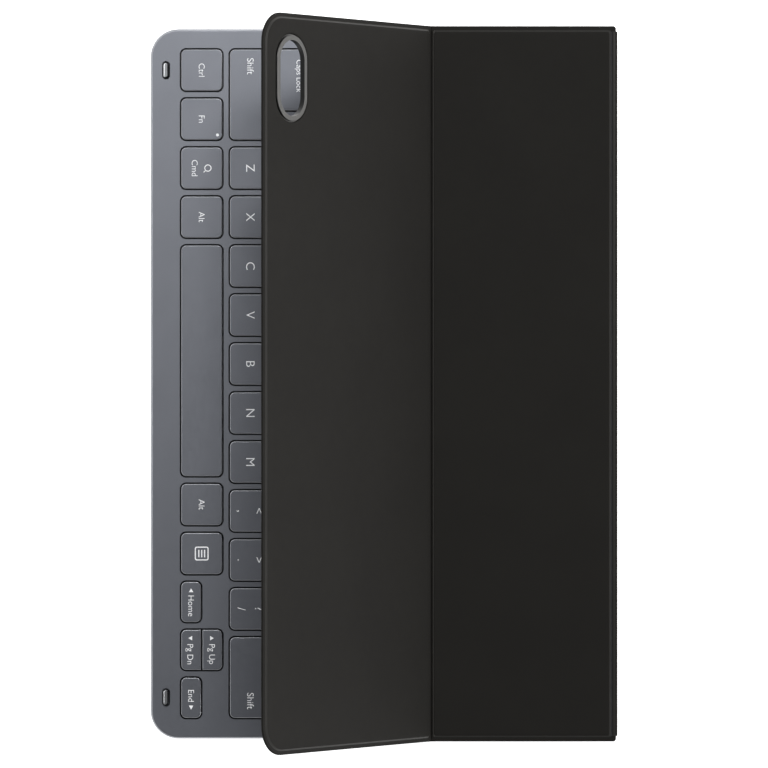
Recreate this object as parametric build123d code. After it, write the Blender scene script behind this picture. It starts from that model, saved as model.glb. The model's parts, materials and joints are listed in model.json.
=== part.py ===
from build123d import *
import math
import os

# Tablet keyboard case, lying on a table with the keyboard facing up (millimetres).
#   +X  towards the right-hand end of the keyboard
#   +Y  from the space bar towards the spine
#   +Z  up, with the table at Z = 0
# The base holds the keyboard. A soft spine stands at its rear edge and carries the cover, which is
# two stiff panels with a crease between them. The lower panel lies level at the height of a tablet
# above the keys. The upper panel, which has the camera window, is folded up about the crease.

# ---------------------------------------------------------------- driving dimensions
BASE_WIDTH = 256.8
FRONT_Y = -84.3
SPINE_OUTER_Y = 84.3
FRONT_RADIUS = 10.1
REAR_RADIUS = 2.0

SKIN = 0.8  # bottom skin
DECK_TOP = 5.0
DECK_PLATE = 1.1  # top wall of the deck
DECK_WALL = 2.0  # side walls of the deck
DECK_EDGE = 0.9  # rounding of its upper rim
PLATE = 0.5  # metal support plate
MEMBRANE = 0.25

PITCH_X = 17.72
PITCH_Y = 17.62
WEB = 2.26  # between the gap lines of two neighbouring keys
GAP = 0.55  # clear gap round a keycap
KEYS_LEFT_X = -121.2
KEYS_FRONT_Y = -73.47
KEY_RADIUS = 1.8
KEY_TOP = 5.4
KEY_HEIGHT = 1.5
KEY_WALL = 0.8
KEY_EDGE = 0.3
ARROW_UNITS = 0.978
FUNCTION_DEPTH = 7.9

TABLET_BAY = 12.2  # underside of the closed cover above the table
COVER_WIDTH = 257.8
COVER_LENGTH = 102.07  # upper panel, crease to free edge
COVER_REAR_Y = 83.75
COVER_RADIUS = 10.6
COVER_FLANGE = 1.0  # thickness where skin and lining are bonded
COVER_FULL = 1.6  # thickness over the stiffener
LINING = 0.35
STIFFENER = 0.7
BORDER = 1.65  # edge to the middle of the step up to the full thickness
STEP = 0.45  # width of that sloping step
CREASE_Y = 17.09
CREASE_HALF = 0.9  # half of the soft strip at the crease
LOWER_CREASE_BORDER = 1.22  # crease line to the middle of the lower panel's step
UPPER_CREASE_BORDER = 2.3
CORE_INSET = 0.35  # from a step to the edge of the stiffener
REST_FOLD = 54.6  # how far the upper panel is folded up at rest, in degrees

SPINE_WIDTH = 253.8
SPINE_THICK = 1.4
SPINE_SKIN = 0.6
SPINE_LINING = 0.35

RING_LENGTH = 30.1
RING_WIDTH = 17.7
RING_BAND = 1.8
RING_FROM_EDGE = 16.07
RING_X = -106.3
RING_PROUD = 0.25
RING_FLANGE = 1.4  # hidden flange that the ring is bonded by
RING_GROOVE = 0.35

BUMPER_X = 113.45
BUMPER_Y = -78.7
BUMPER_LENGTH = 6.7
BUMPER_WIDTH = 2.9
BUMPER_TOP = 5.95
BUMPER_SOCKET = 0.8  # how deep a bumper sits in the deck
BUMPER_EDGE = 0.9

DOCK_HALF = 112.0
DOCK_FRONT_Y = 24.8
DOCK_REAR_Y = 33.4
DOCK_DEPTH = 0.6
POGO_HALF = 9.0
POGO_FRONT_Y = 27.0
POGO_REAR_Y = 31.2
POGO_PITCH = 3.5
POGO_RADIUS = 0.72
POGO_HOLE = 0.8
POGO_TRAVEL = 0.55
POGO_COLLAR = 1.1  # radius of the collar that keeps a contact in
POGO_CAVITY_Z = 1.7
POGO_CAVITY = 1.7  # height of the space that the collar slides in

BOARD = (-36.0, 36.0, 38.0, 54.0)  # x0, x1, y0, y1
BOARD_THICK = 0.8
TAIL_X = -24.0  # middle of the membrane's tail
TAIL_THICK = 0.15

FIT = 0.1  # free fit between assembled pieces
SOFT_GAP = 0.05  # between a soft strip and the panel it joins

# ---------------------------------------------------------------- derived places
PLATE_TOP = SKIN + PLATE
MEMBRANE_TOP = PLATE_TOP + MEMBRANE
DECK_UNDER = DECK_TOP - DECK_PLATE
BOARD_Z = PLATE_TOP + FIT
POGO_Y = (POGO_FRONT_Y + POGO_REAR_Y) / 2
POGO_BLOCK_TOP = DECK_TOP + 0.35
POGO_TOP = POGO_BLOCK_TOP + POGO_TRAVEL + 0.05
CAP_UNDER = KEY_TOP - KEY_WALL
SPINE_INNER_Y = SPINE_OUTER_Y - SPINE_THICK
DECK_REAR_Y = SPINE_INNER_Y - 0.5
BASE_HINGE_Y = SPINE_OUTER_Y - SKIN / 2  # the fold line, in the middle of the skin's thickness
TONGUE_END_Y = BASE_HINGE_Y - 0.35
COVER_HINGE_OFFSET = 0.85  # from both outer faces, so that they come level when laid flat
COVER_HINGE_Y = SPINE_OUTER_Y - COVER_HINGE_OFFSET
COVER_HINGE_Z = TABLET_BAY + COVER_FULL - COVER_HINGE_OFFSET
CREASE_Z = TABLET_BAY + COVER_FLANGE / 2
SPINE_FOOT_Z = SKIN + SOFT_GAP
SPINE_TOP_Z = TABLET_BAY - FIT

# Rows from the front edge to the rear: (name, depth between gap lines, keys), where each key is
# (name, width in key pitches). Keys of one row that share a node are gathered by NODE_OF_ROW.
FULL_DEPTH = PITCH_Y - WEB
LETTERS = [(c, 1.0) for c in "zxcvbnm"]
ROWS = [
    ("bottom", FULL_DEPTH, [
        ("ctrl", 1.0), ("fn", 1.0), ("cmd", 1.0), ("alt_left", 1.0), ("space", 4.869),
        ("alt_right", 1.0), ("menu", 1.0), ("left", ARROW_UNITS), ("up_down", ARROW_UNITS),
        ("right", ARROW_UNITS)]),
    ("shift", FULL_DEPTH, [
        ("shift_left", 2.0), *LETTERS, ("comma", 1.0), ("period", 1.0), ("slash", 1.0),
        ("shift_right", 1.803)]),
    ("home", FULL_DEPTH, [("caps", 1.402), *[(c, 1.0) for c in "asdfghjkl;'"], ("enter", 1.401)]),
    ("qwerty", FULL_DEPTH, [("tab", 1.15), *[(c, 1.0) for c in "qwertyuiop[]"], ("\\", 0.653)]),
    ("number", FULL_DEPTH, [("`", 0.65), *[(c, 1.0) for c in "1234567890-="], ("backspace", 1.153)]),
    ("function", FUNCTION_DEPTH, [(f"f{n}", 13.803 / 14) for n in range(14)]),
]
NODE_OF_ROW = {
    "home": "keys_home_row",
    "qwerty": "keys_qwerty_row",
    "number": "keys_number_row",
    "function": "keys_function_row",
}
OWN_NODE = {"caps", "enter", "tab", "backspace"}
WIRED_UNITS = 1.7  # keys at least this wide have a stabiliser wire


def key_cells():
    """Every key opening as (row, key, units, centre x, centre y, width, depth) between gap lines."""
    cells = []
    for number, (row, depth, keys) in enumerate(ROWS):
        x = KEYS_LEFT_X
        y = KEYS_FRONT_Y + number * PITCH_Y + depth / 2
        for key, units in keys:
            width = units * PITCH_X - WEB
            if key in ("left", "right"):
                half = FULL_DEPTH / 2
                cells.append((row, key, units, x + width / 2, y - half / 2, width, half))
            else:
                cells.append((row, key, units, x + width / 2, y, width, depth))
            x += units * PITCH_X
    return cells


CELLS = key_cells()


# ---------------------------------------------------------------- helpers
def save(shape, node):
    """Writes one node's solids."""
    solids = shape.solids()
    export_step(solids[0] if len(solids) == 1 else Compound(children=list(solids)), f"parts/{node}.step")


def block(x0, x1, y0, y1, z0, z1):
    """A box between two corners."""
    return Pos((x0 + x1) / 2, (y0 + y1) / 2, (z0 + z1) / 2) * Box(x1 - x0, y1 - y0, z1 - z0)


def plan(width, y0, y1, front_radius, rear_radius):
    """A plan outline, symmetric in X, with its own radii at the front and rear corners."""
    face = Pos(0, (y0 + y1) / 2) * Rectangle(width, y1 - y0)
    face = fillet(face.vertices().group_by(Axis.Y)[0], front_radius)
    return fillet(face.vertices().group_by(Axis.Y)[-1], rear_radius)


def base_plan(inset=0.0):
    """The base's outline, moved inwards."""
    least = 0.4
    return plan(
        BASE_WIDTH - 2 * inset, FRONT_Y + inset, DECK_REAR_Y - inset,
        max(FRONT_RADIUS - inset, least), max(REAR_RADIUS - inset, least))


def profile_bar(points, half_length):
    """A bar along X whose section is a closed polygon of (y, z) points."""
    return extrude(Plane.YZ * make_face(Polyline(*points, close=True)), half_length, both=True)


def pill(length, width):
    """A slot outline along X."""
    return SlotOverall(length, width)


# ---------------------------------------------------------------- base
def deck_frame():
    """Moulded top case: an open-bottomed tray with an opening for each key."""
    deck = Pos(0, 0, SKIN) * extrude(base_plan(), DECK_TOP - SKIN)
    deck = fillet(deck.faces().sort_by(Axis.Z)[-1].outer_wire().edges(), DECK_EDGE)
    deck -= Pos(0, 0, SKIN) * extrude(base_plan(DECK_WALL), DECK_UNDER - SKIN)
    inner_half = BASE_WIDTH / 2 - DECK_WALL - 1
    rib_half = 0.5
    for number in range(1, len(ROWS)):
        y = KEYS_FRONT_Y + number * PITCH_Y - WEB / 2
        deck += block(-inner_half, inner_half, y - rib_half, y + rib_half, MEMBRANE_TOP + FIT, DECK_UNDER)
    openings = Sketch()
    for _, _, _, x, y, width, depth in CELLS:
        openings += Pos(x, y) * RectangleRounded(width + GAP, depth + GAP, KEY_RADIUS + GAP)
    deck -= Pos(0, 0, SKIN) * extrude(openings, DECK_TOP)
    dock = (DOCK_REAR_Y - DOCK_FRONT_Y) / 2
    middle = (DOCK_REAR_Y + DOCK_FRONT_Y) / 2
    recess = Pos(0, middle, DECK_TOP - DOCK_DEPTH) * extrude(Rectangle(2 * DOCK_HALF, 2 * dock), DOCK_DEPTH)
    deck -= recess
    deck -= block(-POGO_HALF - FIT, POGO_HALF + FIT, POGO_FRONT_Y - FIT, POGO_REAR_Y + FIT, SKIN, DECK_TOP)
    for side in (-1, 1):
        socket = extrude(pill(BUMPER_LENGTH, BUMPER_WIDTH), BUMPER_SOCKET)
        deck -= Pos(side * BUMPER_X, BUMPER_Y, DECK_TOP - BUMPER_SOCKET) * socket
    return deck


def bumpers():
    """Two soft pills in the front margin that keep the tablet's glass off the keys."""
    made = Part()
    for side in (-1, 1):
        outline = pill(BUMPER_LENGTH - 2 * FIT, BUMPER_WIDTH - 2 * FIT)
        body = extrude(outline, BUMPER_TOP - DECK_TOP + BUMPER_SOCKET)
        body = fillet(body.faces().sort_by(Axis.Z)[-1].edges(), BUMPER_EDGE)
        made += Pos(side * BUMPER_X, BUMPER_Y, DECK_TOP - BUMPER_SOCKET) * body
    return made


def bottom_skin():
    """Outer skin under the base, with the tongue that runs back to the spine's crease."""
    skin = extrude(base_plan(0.3), SKIN)
    half = SPINE_WIDTH / 2
    return skin + block(-half, half, DECK_REAR_Y - 3, TONGUE_END_Y, 0, SKIN)


def support_plate():
    """Pressed metal plate that the switches stand on, lightened by windows behind the keys."""
    plate = Pos(0, 0, SKIN) * extrude(base_plan(DECK_WALL + FIT), PLATE)
    windows = Sketch()
    for row in range(2):
        for column in range(-6, 7):
            windows += Pos(column * 17.0, 62 + row * 10.0) * Rectangle(11.0, 5.0)
    return plate - Pos(0, 0, SKIN) * extrude(windows, PLATE)


def switch_membrane():
    """Printed contact foil under the keys."""
    margin = 2.6
    rear = KEYS_FRONT_Y + 5 * PITCH_Y + FUNCTION_DEPTH + 1.2
    return block(
        KEYS_LEFT_X - margin, -KEYS_LEFT_X + margin, KEYS_FRONT_Y - margin, rear, PLATE_TOP, MEMBRANE_TOP)


def switch_size(width, depth):
    """Width and length of the scissor frames that fit under a key."""
    return min(10.6, width - 2.4), min(10.0, depth - 2.4)


def one_dome(foot):
    """Hollow silicone dome, from the membrane to just under the cap."""
    top = CAP_UNDER - SOFT_GAP
    rim, wall, nub = 0.25, 0.3, 0.42 * foot
    outer = [
        (0, MEMBRANE_TOP), (foot, MEMBRANE_TOP), (foot, MEMBRANE_TOP + rim), (foot - 0.4, MEMBRANE_TOP + rim),
        (nub, top - 0.6), (nub, top), (0, top)]
    inner = [
        (0, MEMBRANE_TOP), (foot - 0.4 - wall, MEMBRANE_TOP), (nub - 0.2, top - 1.1), (0, top - 1.1)]
    solid = revolve(make_face(Plane.XZ * Polyline(*outer, close=True)), Axis.Z)
    return solid - revolve(make_face(Plane.XZ * Polyline(*inner, close=True)), Axis.Z)


def rubber_domes():
    """One dome under each key."""
    full, small = one_dome(2.4), one_dome(1.2)
    solids = []
    for _, key, _, x, y, width, depth in CELLS:
        cramped = min(width, depth) < 10 or key == "up_down"
        for centre in dome_places(key, y):
            solids += (Pos(x, centre, 0) * (small if cramped else full)).solids()
    return Compound(children=solids)


def dome_places(key, y):
    """Where a cell's switches stand: the up and down keys share one cell."""
    quarter = FULL_DEPTH / 4
    return (y - quarter, y + quarter) if key == "up_down" else (y,)


def scissor_pair(width, length):
    """Outer and inner frame of one scissor switch, crossed, at rest."""
    bar, thick, side_gap = 0.8, 0.5, 0.2
    middle = (MEMBRANE_TOP + CAP_UNDER) / 2
    rise = (CAP_UNDER - MEMBRANE_TOP) / 2 - thick / 2 - 0.12
    tilt = math.degrees(math.asin(2 * rise / length))
    inner_width = width - 2 * bar - 2 * side_gap
    made = []
    for frame_width, turn in ((width, tilt), (inner_width, -tilt)):
        outline = Rectangle(frame_width, length) - Rectangle(frame_width - 2 * bar, length - 2 * bar)
        frame = Pos(0, 0, -thick / 2) * extrude(outline, thick)
        made += (Pos(0, 0, middle) * Rot(turn, 0, 0) * frame).solids()
    return made


def scissor_links():
    """The two crossed frames under each key."""
    solids = []
    for _, key, _, x, y, width, depth in CELLS:
        shared = key == "up_down"
        frame = switch_size(width, depth / 2 if shared else depth)
        for centre in dome_places(key, y):
            solids += [Pos(x, centre, 0) * link for link in scissor_pair(*frame)]
    return Compound(children=solids)


def stabiliser_wires():
    """Bent wires that keep the wide keys level."""
    solids = []
    radius, reach, tip = 0.35, 8.6, 1.6
    for _, _, units, x, y, width, depth in CELLS:
        if units < WIRED_UNITS:
            continue
        arm_x = width / 2 - 3.2
        rear_y, high, low = depth / 2 - 1.7, CAP_UNDER - radius - SOFT_GAP, MEMBRANE_TOP + radius + SOFT_GAP
        points = [
            (-arm_x + tip, rear_y - reach, low), (-arm_x, rear_y - reach, low), (-arm_x, rear_y, high),
            (arm_x, rear_y, high), (arm_x, rear_y - reach, low), (arm_x - tip, rear_y - reach, low)]
        path = FilletPolyline(*points, radius=0.7)
        wire = sweep(Plane(path @ 0, z_dir=path % 0) * Circle(radius), path=path)
        solids += (Pos(x, y, 0) * wire).solids()
    return Compound(children=solids)


def controller_board():
    """Circuit board with its two chips and two flat-cable connectors, each its own solid."""
    x0, x1, y0, y1 = BOARD
    top = BOARD_Z + BOARD_THICK
    solids = [
        block(x0, x1, y0, y1, BOARD_Z, top),
        block(8, 18, 43, 51, top, top + 0.9),
        block(24, 30, 44, 50, top, top + 0.8),
        block(TAIL_X - 8, TAIL_X + 8, y0, y0 + 4, top, top + 1.3),
        block(-6, 6, y0, y0 + 4, top, top + 1.3)]
    return Compound(children=[s.solids()[0] for s in solids])


def flex_cables():
    """The membrane's tail and the lead from the contact block, both flat, up to their connectors."""
    board_front = BOARD[2]
    top = BOARD_Z + BOARD_THICK
    thick = TAIL_THICK
    membrane_rear = KEYS_FRONT_Y + 5 * PITCH_Y + FUNCTION_DEPTH + 1.2
    low, high = PLATE_TOP + 0.05, top + 0.5
    bend_start, bend_end = board_front - 4.5, board_front - 1.5
    tail = [
        (membrane_rear, low), (bend_start, low), (bend_end, high), (board_front, high),
        (board_front, high + thick), (bend_end, high + thick), (bend_start, low + thick),
        (membrane_rear, low + thick)]
    tail_solid = Pos(TAIL_X, 0, 0) * profile_bar(tail, 6.0)
    lead = block(-4.5, 4.5, POGO_REAR_Y, board_front, high, high + thick)
    return Compound(children=[tail_solid.solids()[0], lead.solids()[0]])


def dock_rail():
    """Strip behind the keys with the low lip that the tablet's edge stands against."""
    y0, y1 = DOCK_FRONT_Y + FIT, DOCK_REAR_Y - FIT
    floor, lip = DECK_TOP - DOCK_DEPTH, 5.85
    seat = DECK_TOP - 0.05
    section = [
        (y0, floor), (y0, lip - 0.3), (y0 + 0.3, lip), (y0 + 1.0, lip), (y0 + 1.5, seat), (y1, seat),
        (y1, floor)]
    rail = profile_bar(section, DOCK_HALF - FIT)
    window = POGO_HALF + FIT
    return rail - block(-window, window, POGO_FRONT_Y - FIT, POGO_REAR_Y + FIT, floor - 1, lip + 1)


def pogo_housing():
    """Contact block with a stepped bore for each spring contact."""
    top = POGO_BLOCK_TOP
    housing = block(-POGO_HALF, POGO_HALF, POGO_FRONT_Y, POGO_REAR_Y, PLATE_TOP, top)
    housing = chamfer(housing.faces().sort_by(Axis.Z)[-1].edges(), 0.25)
    for x in (-POGO_PITCH, 0, POGO_PITCH):
        housing -= Pos(x, POGO_Y, PLATE_TOP) * extrude(Circle(POGO_HOLE), top)
        housing -= Pos(x, POGO_Y, POGO_CAVITY_Z) * extrude(Circle(POGO_COLLAR + FIT), POGO_CAVITY)
    return housing


def pogo_pins():
    """Three spring contacts with retaining collars, raised."""
    solids = []
    collar_top = POGO_CAVITY_Z + POGO_CAVITY - FIT
    collar = 0.7
    foot = collar_top - collar
    tip_edge = 0.4
    for x in (-POGO_PITCH, 0, POGO_PITCH):
        pin = Pos(x, POGO_Y, foot) * extrude(Circle(POGO_RADIUS), POGO_TOP - foot)
        pin = fillet(pin.faces().sort_by(Axis.Z)[-1].edges(), tip_edge)
        pin += Pos(x, POGO_Y, foot) * extrude(Circle(POGO_COLLAR), collar)
        solids += pin.solids()
    return Compound(children=solids)


def base_magnets():
    """Bar magnets under the dock rail and along the front edge."""
    z0, z1 = PLATE_TOP + FIT, DECK_UNDER - FIT
    solids = []
    front = FRONT_Y + DECK_WALL + 2.5
    bar = Box(24, 4, z1 - z0)
    for x, y in ((48, 29.1), (78, 29.1), (72, front + 0.5)):
        for side in (-1, 1):
            solids += (Pos(side * x, y, (z0 + z1) / 2) * bar).solids()
    return Compound(children=solids)


# ---------------------------------------------------------------- keys
def keycap(width, depth, split=0):
    """A cap with a hollow underside. A split cap is the rear (1) or front (-1) half of its cell."""
    outline = RectangleRounded(width - GAP, depth - GAP, KEY_RADIUS)
    inner_width, inner_depth = width - GAP - 2 * KEY_WALL, depth - GAP - 2 * KEY_WALL
    hollow = RectangleRounded(inner_width, inner_depth, KEY_RADIUS - KEY_WALL)
    if split:
        half = (depth - GAP) / 2 - GAP / 2
        middle = split * (GAP / 2 + half / 2)
        outline = outline & (Pos(0, middle) * Rectangle(width, half))
        hollow = Pos(0, middle) * Rectangle(inner_width, half - 2 * KEY_WALL)
    cap = Pos(0, 0, KEY_TOP - KEY_HEIGHT) * extrude(outline, KEY_HEIGHT)
    cap = fillet(cap.faces().sort_by(Axis.Z)[-1].edges(), KEY_EDGE)
    return cap - Pos(0, 0, KEY_TOP - KEY_HEIGHT) * extrude(hollow, KEY_HEIGHT - KEY_WALL)


def save_keys():
    """Each key that stands alone is a node; the rest of each rear row shares one."""
    shared = {node: [] for node in NODE_OF_ROW.values()}
    for row, key, _, x, y, width, depth in CELLS:
        if key == "up_down":
            save(Pos(x, y, 0) * keycap(width, depth, 1), "key_up")
            save(Pos(x, y, 0) * keycap(width, depth, -1), "key_down")
            continue
        cap = Pos(x, y, 0) * keycap(width, depth)
        if row in NODE_OF_ROW and key not in OWN_NODE:
            shared[NODE_OF_ROW[row]] += cap.solids()
        else:
            save(cap, f"key_{key}")
    for node, solids in shared.items():
        save(Compound(children=solids), node)


# ---------------------------------------------------------------- cover panels
def raised_panel(y0, y1, front_radius, rear_radius, front_border, rear_border):
    """A panel's whole outer form: a thin border that steps up to the full thickness."""
    low = TABLET_BAY
    panel = Pos(0, 0, low) * extrude(plan(COVER_WIDTH, y0, y1, front_radius, rear_radius), COVER_FLANGE)
    inset_side = BORDER - STEP / 2
    inner_front = y0 + front_border - STEP / 2
    inner_rear = y1 - rear_border + STEP / 2
    raised = plan(
        COVER_WIDTH - 2 * inset_side, inner_front, inner_rear,
        max(front_radius - inset_side, 1.4), max(rear_radius - inset_side, 1.4))
    height = COVER_FULL - COVER_FLANGE
    boss = Pos(0, 0, low + COVER_FLANGE) * extrude(raised, height)
    boss = chamfer(boss.faces().sort_by(Axis.Z)[-1].edges(), height - 0.02, STEP)
    return panel + boss


def panel_layers(y0, y1, front_radius, rear_radius, front_border, rear_border, magnets):
    """Outer skin, stiffener, lining and magnets of one panel, as it lies flat."""
    low = TABLET_BAY
    form = raised_panel(y0, y1, front_radius, rear_radius, front_border, rear_border)
    outline = plan(COVER_WIDTH, y0, y1, front_radius, rear_radius)
    lining = Pos(0, 0, low) * extrude(outline, LINING)
    core_inset = BORDER + CORE_INSET
    core = plan(
        COVER_WIDTH - 2 * core_inset, y0 + front_border + CORE_INSET, y1 - rear_border - CORE_INSET,
        max(front_radius - core_inset, 1.0), max(rear_radius - core_inset, 1.0))
    stiffener = Pos(0, 0, low + LINING) * extrude(core, STIFFENER)
    skin = form - lining - stiffener
    bars = Part()
    for x, y, length, width in magnets:
        bars += Pos(x, y, low + LINING) * extrude(Rectangle(length, width), STIFFENER)
    return skin, stiffener - bars, lining, bars


def fold_up(shape):
    """Turns a piece of the upper panel from flat to its rest fold about the crease."""
    hinge = Pos(0, CREASE_Y, CREASE_Z)
    return hinge * Rot(-REST_FOLD, 0, 0) * Pos(0, -CREASE_Y, -CREASE_Z) * shape


def lower_panel():
    """The rear half of the cover."""
    bars = [(x, 50.0, 34.0, 5.0) for x in (-90, -40, 40, 90)]
    return panel_layers(
        CREASE_Y + CREASE_HALF, COVER_REAR_Y, 0.4, 0.8, LOWER_CREASE_BORDER - CREASE_HALF, BORDER, bars)


def ring_cut(grow, y):
    """The camera window's slot outline, grown all round."""
    return Pos(RING_X, y) * pill(RING_LENGTH + 2 * grow, RING_WIDTH + 2 * grow)


def upper_panel():
    """The front half of the cover, with its camera window, as it lies flat."""
    free_y = CREASE_Y - COVER_LENGTH
    ring_y = free_y + RING_FROM_EDGE
    low = TABLET_BAY
    bars = [(x, -64.0, 34.0, 6.0) for x in (-50, 0, 50, 95)]
    bars += [(x, 0.0, 34.0, 6.0) for x in (-90, -30, 30, 90)]
    skin, stiffener, lining, magnets = panel_layers(
        free_y, CREASE_Y - CREASE_HALF, COVER_RADIUS, 0.4, BORDER, UPPER_CREASE_BORDER - CREASE_HALF, bars)
    through = Pos(0, 0, low - 1) * extrude(ring_cut(0, ring_y), COVER_FULL + 2)
    pocket_z = low + COVER_FULL - 0.3
    groove = Pos(0, 0, pocket_z) * extrude(ring_cut(RING_GROOVE, ring_y), 1)
    flange_low = low + LINING
    flange_cut = Pos(0, 0, flange_low) * extrude(ring_cut(RING_FLANGE + FIT, ring_y), STIFFENER)
    skin = skin - through - groove
    stiffener = stiffener - through - flange_cut
    lining = lining - through
    ring = Pos(0, 0, low) * extrude(ring_cut(-SOFT_GAP, ring_y), COVER_FULL + RING_PROUD)
    ring = fillet(ring.faces().sort_by(Axis.Z)[-1].edges(), 0.3)
    flange = Pos(0, 0, flange_low + 0.05) * extrude(ring_cut(RING_FLANGE, ring_y), STIFFENER - FIT)
    hole = Pos(0, 0, low - 1) * extrude(ring_cut(-RING_BAND, ring_y), COVER_FULL + 3)
    ring = (ring + flange) - hole
    return skin, stiffener, lining, magnets, ring


# ---------------------------------------------------------------- spine and creases
def spine_layers():
    """Outer skin, stiffener and lining of the standing spine."""
    half = SPINE_WIDTH / 2
    outer, inner = SPINE_OUTER_Y, SPINE_INNER_Y
    skin_face = outer - SPINE_SKIN
    skin = block(-half, half, skin_face, outer, SPINE_FOOT_Z, SPINE_TOP_Z)
    core_half, core_edge = half - 1.5, 0.8
    lining_face = inner + SPINE_LINING
    stiffener = block(
        -core_half, core_half, lining_face, skin_face, SPINE_FOOT_Z + core_edge, SPINE_TOP_Z - core_edge)
    cavity = block(-half, half, inner, skin_face, SPINE_FOOT_Z, SPINE_TOP_Z)
    return skin, stiffener, cavity - stiffener


def base_crease():
    """Soft strip that turns the bottom skin up into the spine, with a quarter round outside."""
    strip = Pos(0, SPINE_OUTER_Y - SKIN, SKIN) * Rot(0, 90, 0) * Cylinder(SKIN, SPINE_WIDTH)
    y0 = TONGUE_END_Y + SOFT_GAP
    return strip & block(-SPINE_WIDTH, SPINE_WIDTH, y0, y0 + 2, -1, SKIN)


def cover_crease():
    """Soft lip that carries the spine's skin up to the lower panel's rear edge."""
    radius = COVER_HINGE_OFFSET
    tube = Cylinder(radius, SPINE_WIDTH) - Cylinder(0.2, SPINE_WIDTH)
    strip = Pos(0, COVER_HINGE_Y, COVER_HINGE_Z) * Rot(0, 90, 0) * tube
    y0 = COVER_REAR_Y + SOFT_GAP
    return strip & block(-SPINE_WIDTH, SPINE_WIDTH, y0, y0 + 2, SPINE_TOP_Z + SOFT_GAP, COVER_HINGE_Z)


def mid_crease():
    """Soft strip between the two panels, bent to the rest fold, with a round back on the hinge line."""
    half = COVER_WIDTH / 2
    reach = CREASE_HALF - SOFT_GAP
    low, high = TABLET_BAY, TABLET_BAY + COVER_FLANGE
    level = block(-half, half, CREASE_Y, CREASE_Y + reach, low, high)
    raised = fold_up(block(-half, half, CREASE_Y - reach, CREASE_Y, low, high))
    back = Pos(0, CREASE_Y, CREASE_Z) * Rot(0, 90, 0) * Cylinder(COVER_FLANGE / 2, COVER_WIDTH)
    return level + raised + back


# ---------------------------------------------------------------- write every node
def main():
    os.makedirs("parts", exist_ok=True)
    for piece in (
            deck_frame, bumpers, bottom_skin, support_plate, switch_membrane, rubber_domes, scissor_links,
            stabiliser_wires, controller_board, flex_cables, dock_rail, pogo_housing, pogo_pins,
            base_magnets, base_crease, cover_crease, mid_crease):
        save(piece(), piece.__name__)
    save_keys()
    for layer, solid in zip(("skin", "stiffener", "lining"), spine_layers()):
        save(solid, f"spine_{layer}")
    for layer, solid in zip(("outer_skin", "stiffener", "lining", "magnets"), lower_panel()):
        save(solid, f"lower_{layer}")
    *layers, ring = upper_panel()
    for layer, solid in zip(("outer_skin", "stiffener", "lining", "magnets"), layers):
        save(fold_up(solid), f"upper_{layer}")
    save(fold_up(ring), "camera_ring")


main()
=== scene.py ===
import json
import math

import bmesh
import bpy
import numpy as np
from mathutils import Matrix, Vector


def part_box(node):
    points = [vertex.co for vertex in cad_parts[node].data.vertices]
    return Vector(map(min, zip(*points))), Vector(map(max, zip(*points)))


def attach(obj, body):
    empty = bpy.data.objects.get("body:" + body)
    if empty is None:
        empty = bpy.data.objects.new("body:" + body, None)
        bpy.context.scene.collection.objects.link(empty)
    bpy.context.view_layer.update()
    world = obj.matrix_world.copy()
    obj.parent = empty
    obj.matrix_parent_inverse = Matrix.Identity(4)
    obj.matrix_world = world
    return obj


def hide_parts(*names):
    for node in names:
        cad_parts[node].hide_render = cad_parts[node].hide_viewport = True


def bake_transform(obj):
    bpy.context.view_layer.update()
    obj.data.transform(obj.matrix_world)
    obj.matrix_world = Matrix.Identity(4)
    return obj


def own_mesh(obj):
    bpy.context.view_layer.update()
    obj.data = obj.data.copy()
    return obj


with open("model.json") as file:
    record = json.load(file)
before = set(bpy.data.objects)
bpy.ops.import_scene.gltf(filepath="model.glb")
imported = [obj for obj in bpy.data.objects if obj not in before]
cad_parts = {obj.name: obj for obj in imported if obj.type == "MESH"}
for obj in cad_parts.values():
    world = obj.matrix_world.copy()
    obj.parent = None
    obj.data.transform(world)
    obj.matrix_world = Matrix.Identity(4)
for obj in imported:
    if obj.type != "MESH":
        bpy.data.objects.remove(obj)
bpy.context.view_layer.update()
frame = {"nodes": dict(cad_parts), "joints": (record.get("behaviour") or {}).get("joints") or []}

# A tablet keyboard case on a pale table, seen from straight above. The keyboard's left end is at the
# top of the picture and its front edge at the left. Lengths below are in millimetres unless a comment
# says otherwise, and MM turns them into metres. Numbers in the materials and points from the frame are
# in metres.
MM = 0.001
WELD = 0.01 * MM  # points of a CAD mesh are one point if they round to the same multiple of this
NODES = frame["nodes"]
JOINTS = {joint["name"]: joint for joint in frame["joints"]}
SCENE = bpy.context.scene

CREASE = Vector(JOINTS["mid_fold"]["pos_m"])
REST_FOLD = math.radians(JOINTS["mid_fold"]["range_deg"][1])  # the joint's upper limit lays the panel flat
COVER_HINGE = Vector(JOINTS["cover_fold"]["pos_m"])


# ---------------------------------------------------------------- places taken from the frame
def unfold_matrix(angle):
    """Turns what is folded up by angle about the crease back to flat; a negative angle folds it up."""
    turn = Matrix.Rotation(angle, 4, "X")
    return Matrix.Translation(CREASE) @ turn @ Matrix.Translation(-CREASE)


def flat_box(node):
    """Lowest and highest corners of an upper-panel node, as if the panel lay flat."""
    count = len(NODES[node].data.vertices)
    points = np.empty(count * 3, np.float32)
    NODES[node].data.vertices.foreach_get("co", points)
    turn = np.array(unfold_matrix(REST_FOLD))
    flat = points.reshape(-1, 3) @ turn[:3, :3].T + turn[:3, 3]
    return Vector(flat.min(axis=0).tolist()), Vector(flat.max(axis=0).tolist())


class Island:
    """One separate solid in a CAD node's mesh: its welded points and the faces between them."""

    def __init__(self):
        self.points = {}
        self.faces = []

    def corners(self):
        """Lowest and highest corners."""
        low = Vector([min(p[i] for p in self.points.values()) for i in range(3)])
        high = Vector([max(p[i] for p in self.points.values()) for i in range(3)])
        return low, high


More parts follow.
